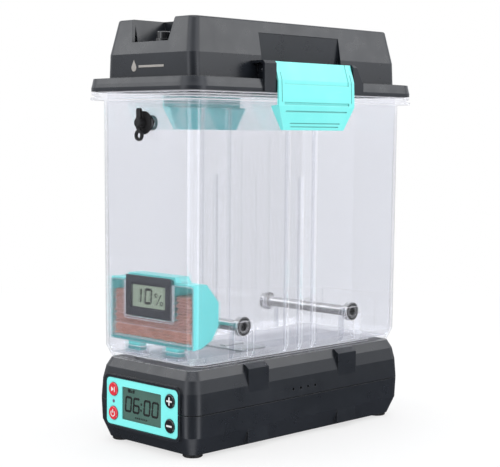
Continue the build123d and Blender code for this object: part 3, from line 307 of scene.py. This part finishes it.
def lcd(name, colour, tint, line):
    """Liquid crystal glass: an even grey green with a faint pixel grid and a slightly uneven polariser."""
    material, tree, shader, place = fresh(name)
    cloud = noise(tree, place, 16 * MM, 3.0)
    grid = add(tree, "ShaderNodeTexWave", {"Vector": place, "Scale": 900.0, "Distortion": 0.0},
               wave_type="BANDS", bands_direction="Z").outputs["Fac"]
    base = blend_colour(tree, spread(tree, cloud, 0.35, 0.65, 0.0, 1.0), rgba(colour), rgba(tint))
    base = blend_colour(tree, spread(tree, grid, 0.0, 1.0, 0.0, 0.12), base, rgba(line))
    tree.links.new(base, shader.inputs["Base Color"])
    tree.links.new(spread(tree, cloud, 0.3, 0.7, 0.16, 0.26), shader.inputs["Roughness"])
    relief(tree, shader, cloud, 0.15, 0.1 * MM)
    return material


# ---------------------------------------------------------------- materials
looks = {
    "black_plastic": moulded("black_plastic", (0.010, 0.0125, 0.017), (0.014, 0.017, 0.023), 0.30, 0.05,
                             0.45 * MM, 0.012 * MM, (0.075, 0.078, 0.084)),
    "black_gloss_plastic": moulded("black_gloss_plastic", (0.008, 0.008, 0.009), (0.012, 0.012, 0.014),
                                   0.16, 0.05, 0.9 * MM, 0.004 * MM, (0.04, 0.04, 0.042), coat=0.5),
    # the turquoise carries a painted glow that lifts its shaded sides
    "turquoise_plastic": moulded("turquoise_plastic", (0.21, 0.80, 0.78), (0.185, 0.77, 0.75), 0.36, 0.06,
                                 0.5 * MM, 0.010 * MM, (0.42, 0.90, 0.88), corner=0.5 * MM, painted_glow=0.14),
    "red_plastic": moulded("red_plastic", (0.78, 0.035, 0.055), (0.70, 0.028, 0.045), 0.18, 0.05,
                           0.8 * MM, 0.004 * MM, (0.85, 0.25, 0.25), coat=0.6),
    "meter_plastic": moulded("meter_plastic", (0.062, 0.068, 0.082), (0.075, 0.081, 0.096), 0.42, 0.06,
                             0.35 * MM, 0.012 * MM, (0.16, 0.17, 0.19)),
    "black_rubber": moulded("black_rubber", (0.012, 0.012, 0.013), (0.018, 0.018, 0.019), 0.55, 0.08,
                            0.3 * MM, 0.02 * MM, (0.035, 0.035, 0.037), specular=0.25),
    "silicone": moulded("silicone", (0.55, 0.56, 0.58), (0.48, 0.49, 0.51), 0.5, 0.08,
                        0.6 * MM, 0.015 * MM, (0.7, 0.7, 0.72), sheen=0.15),
    "status_lens": moulded("status_lens", (0.16, 0.10, 0.20), (0.20, 0.13, 0.24), 0.14, 0.04,
                           0.8 * MM, 0.003 * MM, (0.3, 0.25, 0.35), coat=0.6),
    "ink_black": moulded("ink_black", (0.010, 0.012, 0.012), (0.016, 0.019, 0.018), 0.3, 0.05,
                         0.3 * MM, 0.003 * MM, (0.03, 0.03, 0.03)),
    "ink_white": moulded("ink_white", (0.86, 0.86, 0.86), (0.78, 0.78, 0.79), 0.4, 0.06,
                         0.3 * MM, 0.004 * MM, (0.6, 0.6, 0.6)),
    "ink_pale": moulded("ink_pale", (0.42, 0.40, 0.37), (0.36, 0.34, 0.32), 0.45, 0.06,
                        0.3 * MM, 0.004 * MM, (0.25, 0.25, 0.25)),
    "polished_steel": metal("polished_steel", (0.64, 0.63, 0.61), (0.56, 0.55, 0.53), 0.15, 0.06,
                            (14.0, 1.0, 1.0), 3 * MM, 0.004 * MM),
    "brushed_steel": metal("brushed_steel", (0.52, 0.52, 0.53), (0.42, 0.42, 0.44), 0.32, 0.1,
                           (1.0, 10.0, 1.0), 2 * MM, 0.01 * MM),
    "heater_alloy": metal("heater_alloy", (0.60, 0.61, 0.62), (0.47, 0.45, 0.43), 0.4, 0.1,
                          (1.0, 1.0, 12.0), 2 * MM, 0.01 * MM),
    "clear_plastic": clear("clear_plastic", (0.955, 0.962, 0.995), (0.974, 0.979, 0.998), 0.012, 0.2 * MM,
                           0.005, (0.975, 0.975, 0.98)),
    "circuit_board": board("circuit_board"),
    "bead_orange": beads_look("bead_orange"),
    "lcd_window": lcd("lcd_window", (0.085, 0.165, 0.14), (0.072, 0.145, 0.122), (0.05, 0.10, 0.085)),
    "meter_lcd": lcd("meter_lcd", (0.42, 0.50, 0.38), (0.37, 0.45, 0.34), (0.28, 0.34, 0.26)),
}
OWN_LOOK = {"status_lens": "status_lens"}

for name, thing in nodes.items():
    for place in thing.material_slots:
        place.material = looks[OWN_LOOK.get(name, place.material.name.split(".")[0])]


# ---------------------------------------------------------------- flat marks and symbols
def as_object(name, mesh, material):
    """The bmesh as an object of the scene, in one material."""
    data = bpy.data.meshes.new(name)
    mesh.to_mesh(data)
    mesh.free()
    data.materials.append(material)
    thing = bpy.data.objects.new(name, data)
    bpy.context.scene.collection.objects.link(thing)
    return thing


def plates(name, outlines, face_y, depth, look, body):
    """Thin closed plates facing -Y, one for each outline of (x, z) points in mm."""
    mesh = bmesh.new()
    for outline in outlines:
        front = [mesh.verts.new((x * MM, face_y * MM, z * MM)) for x, z in outline]
        rear = [mesh.verts.new((x * MM, (face_y + depth) * MM, z * MM)) for x, z in outline]
        mesh.faces.new(front)
        mesh.faces.new(rear[::-1])
        count = len(outline)
        for i in range(count):
            j = (i + 1) % count
            mesh.faces.new((front[i], rear[i], rear[j], front[j]))
    bmesh.ops.recalc_face_normals(mesh, faces=mesh.faces)
    thing = as_object(name, mesh, looks[look])
    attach(thing, body)


def bar(x, z, width, height, turn=0.0):
    """A rectangle's corners, centred and turned in degrees."""
    c, s = math.cos(math.radians(turn)), math.sin(math.radians(turn))
    right, top = width / 2, height / 2
    corners = ((-right, -top), (right, -top), (right, top), (-right, top))
    return [(x + u * c - v * s, z + u * s + v * c) for u, v in corners]


ARC_STEPS = 28


def arc_band(x, z, inner, outer, start, end):
    """A ring sector between two angles in degrees."""
    turns = [math.radians(start + (end - start) * i / ARC_STEPS) for i in range(ARC_STEPS + 1)]
    outside = [(x + outer * math.cos(t), z + outer * math.sin(t)) for t in turns]
    inside = [(x + inner * math.cos(t), z + inner * math.sin(t)) for t in reversed(turns)]
    return outside + inside


SEGMENTS = {"0": "abcdef", "1": "bc", "6": "acdefg"}


SLANT = 0.09
STROKE_OVERLAP = 0.18


def digit(text, x, z, width, height, thick):
    """Seven-segment strokes of one leaning digit, lower left corner at x, z."""
    gap = -STROKE_OVERLAP * thick
    half = thick / 2
    middle = height / 2

    def across(level):
        left, right = gap + thick, width - gap - thick
        return [(gap + half, level), (left, level + half), (right, level + half),
                (width - gap - half, level), (right, level - half), (left, level - half)]

    def upright(centre, low, high):
        bottom, top = low + gap + thick, high - gap - thick
        return [(centre, low + gap + half), (centre + half, bottom), (centre + half, top),
                (centre, high - gap - half), (centre - half, top), (centre - half, bottom)]

    shapes = {
        "a": across(height - half), "g": across(middle), "d": across(half),
        "f": upright(half, middle - half, height), "b": upright(width - half, middle - half, height),
        "e": upright(half, 0, middle + half), "c": upright(width - half, 0, middle + half),
    }
    return [[(x + u + SLANT * v, z + v) for u, v in shapes[key]] for key in SEGMENTS[text]]


INK_LIFT = 0.05
INK_DEPTH = 0.08
PANEL_Z = 30.4
panel_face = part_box("panel_display")[0].y / MM
CLOCK_LEFT = -18.8
CLOCK_BASE = PANEL_Z - 6.0
COLON_OFFSET = 17.4
DOT_COUNT, DOT_SIZE, DOT_PITCH = 7, 1.2, 1.9
clock = []
for offset, text in ((0.0, "0"), (8.5, "6"), (19.9, "0"), (28.4, "0")):
    clock += digit(text, CLOCK_LEFT + offset, CLOCK_BASE, 7.4, 11.6, 1.65)
for level in (3.2, 7.6):
    clock.append(bar(CLOCK_LEFT + COLON_OFFSET + level * SLANT, CLOCK_BASE + level, 1.5, 1.6))
# small symbols over the digits, and a row of dots under them
for x, rise, width, height in ((-13.6, 9.4, 3.0, 2.6), (-10.9, 9.0, 1.4, 1.8), (-8.9, 9.4, 1.6, 2.6)):
    clock.append(bar(x, PANEL_Z + rise, width, height))
for i in range(DOT_COUNT):
    clock.append(bar(-6.6 + i * DOT_PITCH, PANEL_Z - 8.9, DOT_SIZE, DOT_SIZE))
plates("panel_digits", clock, panel_face - INK_LIFT, INK_DEPTH, "ink_black", "base")

meter_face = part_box("hygrometer_display")[0].y / MM
METER_Z = 107.2
METER_BASE = METER_Z - 5.4
METER_HEIGHT, METER_STROKE = 11.4, 1.8
meter = digit("1", -15.6, METER_BASE, 7.6, METER_HEIGHT, METER_STROKE)
meter += digit("0", -5.0, METER_BASE, 8.0, METER_HEIGHT, METER_STROKE)
# per cent sign: a leaning bar between two rings
meter.append(bar(10.4, METER_Z - 1.4, 0.9, 9.0, -32))
for x, rise in ((7.6, 1.6), (13.4, -3.8)):
    meter.append(arc_band(x, METER_Z + rise, 0.8, 1.6, 0, 359))
plates("hygrometer_digits", meter, meter_face - INK_LIFT, INK_DEPTH, "ink_black", "desiccant_unit")

cap_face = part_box("plus_button")[0].y / MM
KEY_X = 30.0
UPPER_KEY_Z = PANEL_Z + 8.6
LOWER_KEY_Z = PANEL_Z - 8.6
MARK_DEPTH = 0.3
mark_face = cap_face - 0.04
ARM, STEM = 2.8, 0.6
plus = [(-ARM, -STEM), (-STEM, -STEM), (-STEM, -ARM), (STEM, -ARM), (STEM, -STEM), (ARM, -STEM),
        (ARM, STEM), (STEM, STEM), (STEM, ARM), (-STEM, ARM), (-STEM, STEM), (-ARM, STEM)]
plates("plus_mark", [[(KEY_X + u, UPPER_KEY_Z + v) for u, v in plus]], mark_face, MARK_DEPTH,
       "ink_white", "plus_key")
plates("minus_mark", [bar(KEY_X, LOWER_KEY_Z, 5.6, 1.3)], mark_face, MARK_DEPTH,
       "ink_white", "minus_key")
plates("mode_mark", [
    [(-KEY_X - 1.7, UPPER_KEY_Z - 1.9), (-KEY_X + 1.1, UPPER_KEY_Z), (-KEY_X - 1.7, UPPER_KEY_Z + 1.9)],
    bar(-KEY_X + 1.8, UPPER_KEY_Z, 0.8, 3.8),
], mark_face, MARK_DEPTH, "ink_white", "mode_key")
plates("power_mark", [
    arc_band(-KEY_X, LOWER_KEY_Z - 0.2, 1.7, 2.4, 130, 410),
    bar(-KEY_X, LOWER_KEY_Z + 1.5, 0.8, 2.6),
], mark_face, MARK_DEPTH, "ink_white", "power_key")

DOME_MARK_Y = -107.8
DOME_MARK_Z = 267.0
DROP_X = -14.6
DROP_TIP_Z = DOME_MARK_Z + 4.4
DROP_Z = DOME_MARK_Z - 1.0
DROP_RADIUS = 2.6
drop = [(DROP_X, DROP_TIP_Z)]
for turn in range(30, -211, -12):
    drop.append((DROP_X + DROP_RADIUS * math.cos(math.radians(turn)),
                 DROP_Z + DROP_RADIUS * math.sin(math.radians(turn))))
plates("dome_mark", [drop, bar(3.4, DOME_MARK_Z - 0.2, 26.0, 1.6)], DOME_MARK_Y, 0.25, "ink_pale",
       "lid")

# ---------------------------------------------------------------- desiccant beads
random.seed(7)
BEAD = 2.3
BEAD_PITCH = BEAD * 1.01
ROW_RISE = BEAD * 0.87
LAYER_STEP = BEAD * 0.82
MARGIN = 0.3
BEAD_SIZES = (0.92, 1.12)
JITTER = 0.34
METER_CLEAR = 0.2
low, high = (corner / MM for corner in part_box("desiccant_beads"))
meter_low, meter_high = (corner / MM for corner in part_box("hygrometer_body"))


def bead_row(stagger):
    """Places along X of one row, every other row shifted by half a bead."""
    places = []
    x = low.x + MARGIN + BEAD / 2 + stagger % 2 * BEAD / 2
    while x < high.x - MARGIN - BEAD / 2:
        places.append(x)
        x += BEAD_PITCH
    return places


heap = []
row = 0
z = low.z + MARGIN + BEAD / 2
while z < high.z - BEAD / 2:
    for layer in range(2):
        heap += [(x, low.y + MARGIN + BEAD / 2 + layer * LAYER_STEP, z) for x in bead_row(row + layer)]
    row += 1
    z += ROW_RISE
top = z - ROW_RISE
y = low.y + MARGIN + BEAD / 2 + 2 * LAYER_STEP
row = 0
while y < high.y - MARGIN - BEAD / 2:
    heap += [(x, y, top) for x in bead_row(row)]
    row += 1
    y += ROW_RISE
beads = bmesh.new()
for x, y, z in heap:
    radius = BEAD / 2 * random.uniform(*BEAD_SIZES)
    jitter = [random.uniform(-JITTER, JITTER) for _ in range(3)]
    centre = Vector((x + jitter[0], y + abs(jitter[1]), z + jitter[2]))
    reach = radius + METER_CLEAR
    if not all(meter_low[i] - reach < centre[i] < meter_high[i] + reach for i in range(3)):
        bmesh.ops.create_icosphere(beads, subdivisions=2, radius=radius * MM,
                                   matrix=Matrix.Translation(centre * MM))
for face in beads.faces:
    face.smooth = True
heap_piece = as_object("bead_heap", beads, looks["bead_orange"])
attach(heap_piece, "desiccant_unit")
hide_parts("desiccant_beads")

# ---------------------------------------------------------------- dark shields in the bearing faces
BEARING_FACE_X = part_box("bearing_outer_races")[1].x / MM
SHIELD_X = BEARING_FACE_X + 0.01
SHIELD_INNER, SHIELD_OUTER, SHIELD_THICKNESS = 4.8, 5.9, 0.12
SHIELD_STEPS = 48
turns = [2 * math.pi * i / SHIELD_STEPS for i in range(SHIELD_STEPS)]
shields = bmesh.new()
for end in (-1, 1):
    for roller in ("front", "rear"):
        low, high = (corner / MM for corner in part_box("roller_shaft_" + roller))
        axis_y, axis_z = (low.y + high.y) / 2, (low.z + high.z) / 2
        rings = []
        for x, radius in ((0.0, SHIELD_INNER), (0.0, SHIELD_OUTER), (SHIELD_THICKNESS, SHIELD_OUTER),
                          (SHIELD_THICKNESS, SHIELD_INNER)):
            rings.append([shields.verts.new((
                end * (SHIELD_X + x) * MM,
                (axis_y + radius * math.cos(turn)) * MM,
                (axis_z + radius * math.sin(turn)) * MM,
            )) for turn in turns])
        for i in range(4):
            inner, outer = rings[i], rings[(i + 1) % 4]
            for k in range(SHIELD_STEPS):
                m = (k + 1) % SHIELD_STEPS
                shields.faces.new((inner[k], inner[m], outer[m], outer[k]))
bmesh.ops.recalc_face_normals(shields, faces=shields.faces)
shield_piece = as_object("bearing_shields", shields, looks["black_rubber"])
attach(shield_piece, "tank")

# ---------------------------------------------------------------- raised lip of the case cover
cover_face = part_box("desiccant_cover")[0].y / MM
cover_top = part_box("desiccant_cover")[1].z / MM
LIP_OUTER, LIP_INNER, LIP_HEIGHT = 26.2, 24.6, 0.8
LIP_CORNER = 1.4
lip_low = meter_low.z - 2.4
lip_inner_low = meter_low.z - 0.8
lip_high = cover_top - 0.5
cover_lip = [
    (-LIP_OUTER, lip_high), (-LIP_OUTER, lip_low + LIP_CORNER), (-LIP_OUTER + LIP_CORNER, lip_low),
    (LIP_OUTER - LIP_CORNER, lip_low), (LIP_OUTER, lip_low + LIP_CORNER), (LIP_OUTER, lip_high),
    (LIP_INNER, lip_high), (LIP_INNER, lip_inner_low), (-LIP_INNER, lip_inner_low), (-LIP_INNER, lip_high),
]
plates("cover_lip", [cover_lip], cover_face - LIP_HEIGHT, LIP_HEIGHT - 0.02, "clear_plastic",
       "desiccant_unit")

# ---------------------------------------------------------------- stage
FLOOR_RADIUS = 40.0
disc = bmesh.new()
bmesh.ops.create_circle(disc, cap_ends=True, radius=FLOOR_RADIUS, segments=96)
paper, tree, shader, place = fresh("floor_paper")
shader.inputs["Base Color"].default_value = (0.86, 0.86, 0.87, 1)
shader.inputs["Roughness"].default_value = 0.9
shader.inputs["Specular IOR Level"].default_value = 0.1
# near the object the floor is partly lit paper, and far out an even white
away = add(tree, "ShaderNodeVectorMath", {0: place}, operation="LENGTH").outputs["Value"]
far = spread(tree, away, 0.2, 0.9, 0.68, 1.0)
painted_glow = add(tree, "ShaderNodeEmission", {"Color": (1, 1, 1, 1), "Strength": 1.0}).outputs[0]
mixed = mix_shader(tree, far, shader.outputs[0], painted_glow)
tree.links.new(mixed, tree.nodes["Material Output"].inputs["Surface"])
floor = as_object("floor", disc, paper)
floor.visible_glossy = False

world = bpy.data.worlds.new("studio")
bpy.context.scene.world = world
world.use_nodes = True
world.cycles.sampling_method = "NONE"
tree = world.node_tree
backdrop = tree.nodes["Background"]
facing = add(tree, "ShaderNodeTexCoord").outputs["Generated"]
height = add(tree, "ShaderNodeSeparateXYZ", {0: facing}).outputs["Z"]
ramp = add(tree, "ShaderNodeValToRGB", {0: spread(tree, height, -1.0, 1.0, 0.0, 1.0)})
stops = ramp.color_ramp.elements
stops[0].position = 0.40
stops[0].color = (0.10, 0.10, 0.11, 1)
stops[1].position = 1.0
stops[1].color = (0.9, 0.9, 0.92, 1)
for position, grey in ((0.49, 0.24), (0.53, 0.85), (0.70, 1.15)):
    stop = stops.new(position)
    stop.color = (grey, grey * 1.02, grey * 1.06, 1)
camera_side = tuple(Vector((back.x, back.y, 0)).normalized())
toward = add(tree, "ShaderNodeVectorMath", {
    0: facing, 1: camera_side,
}, operation="DOT_PRODUCT").outputs["Value"]
# a bright ring round the camera's direction, and a dark patch in its middle
lobe = times(tree, spread(tree, toward, 0.36, 0.46, 0.0, 1.0), spread(tree, toward, 0.66, 0.78, 1.0, 0.0))
studio = blend_colour(tree, lobe, ramp.outputs["Color"], (2.3, 2.33, 2.45, 1))
shade = spread(tree, toward, 0.82, 0.96, 0.0, 0.85)
studio = blend_colour(tree, shade, studio, (0.03, 0.03, 0.034, 1))
# the studio shows only in reflections, and everything else sees white
path = add(tree, "ShaderNodeLightPath").outputs
outside = add(tree, "ShaderNodeMath", {
    0: 1.0, 1: path["Is Transmission Ray"],
}, operation="SUBTRACT").outputs[0]
glossy = times(tree, path["Is Glossy Ray"], outside)
colour = blend_colour(tree, glossy, (1.0, 1.0, 1.0, 1), studio)
tree.links.new(colour, backdrop.inputs["Color"])
backdrop.inputs["Strength"].default_value = 1.0


LAMP_AIM = Vector((0, 0, 0.15))


def softbox(name, place, size, radiance):
    """A square lamp aimed at the object, hidden from the camera and from sight through the clear parts."""
    lamp = bpy.data.lights.new(name, "AREA")
    lamp.shape = "SQUARE"
    lamp.size = size
    lamp.energy = radiance * math.pi * size * size
    thing = bpy.data.objects.new(name, lamp)
    thing.location = place
    thing.rotation_mode = "QUATERNION"
    thing.rotation_quaternion = (LAMP_AIM - Vector(place)).to_track_quat("-Z", "Y")
    thing.visible_camera = False
    thing.visible_transmission = False
    bpy.context.scene.collection.objects.link(thing)


softbox("lamp_top", (0.0, 0.0, 1.6), 1.4, 1.0)
softbox("lamp_left", (-1.0, -1.05, 1.0), 0.9, 2.2)
softbox("lamp_right", (1.1, 1.0, 0.95), 0.9, 2.2)
